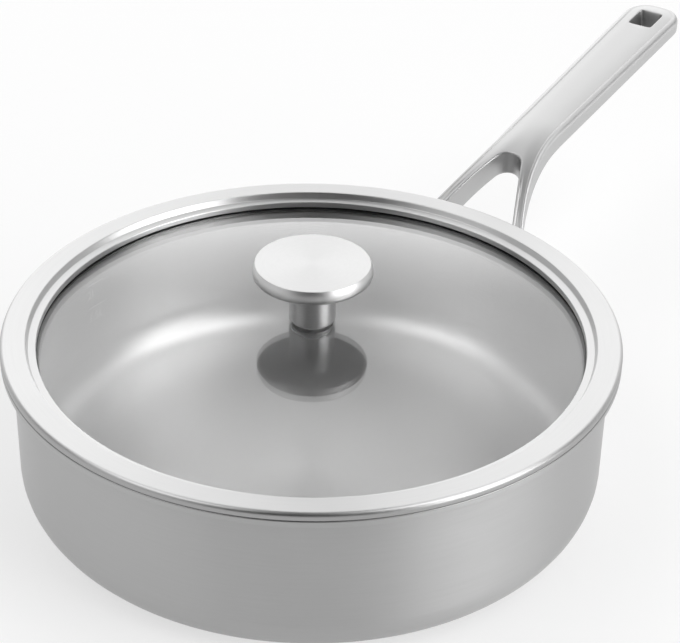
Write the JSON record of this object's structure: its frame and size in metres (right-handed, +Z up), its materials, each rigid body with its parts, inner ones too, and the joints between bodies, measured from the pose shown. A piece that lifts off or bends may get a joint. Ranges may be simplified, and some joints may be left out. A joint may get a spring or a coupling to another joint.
{
  "type": "saute pan with lid",
  "caption": "Straight-sided clad saute pan with a long forked handle and a low domed glass lid in a steel ring, lifted off by a flat disc knob.",
  "frame": {"origin": "middle of the underside of the pan's base", "axes": "+Z up along the pan's axis, +X along the handle away from the pan, +Y to the left of the handle"},
  "size_m": [0.4481, 0.2546, 0.1085],
  "materials": {
    "satin_steel": "circular brushed satin",
    "cast_steel": "bead blasted satin",
    "turned_steel": "turned satin",
    "core_aluminium": "mill",
    "clear_glass": "polished, toughened",
    "black_silicone": "matte",
    "clear_silicone": "translucent matte"
  },
  "bodies": {
    "pan": {"pan_outer_ply": "satin_steel", "pan_core_ply": "core_aluminium", "pan_inner_ply": "satin_steel", "handle": "cast_steel", "handle_weld_left": "cast_steel", "handle_weld_right": "cast_steel"},
    "lid": {"lid_ring": "satin_steel", "lid_retainer": "satin_steel", "glass_seal": "black_silicone", "lid_glass": "clear_glass", "knob": "turned_steel", "knob_seat": "clear_silicone", "hole_grommet": "clear_silicone", "cup_washer": "turned_steel", "lock_washer": "turned_steel", "knob_screw": "turned_steel"}
  },
  "joints": [
    {"name": "lid_lift", "type": "slide", "parent": "pan", "child": "lid", "axis": [0, 0, 1], "range_m": [0, 0.15]}
  ]
}
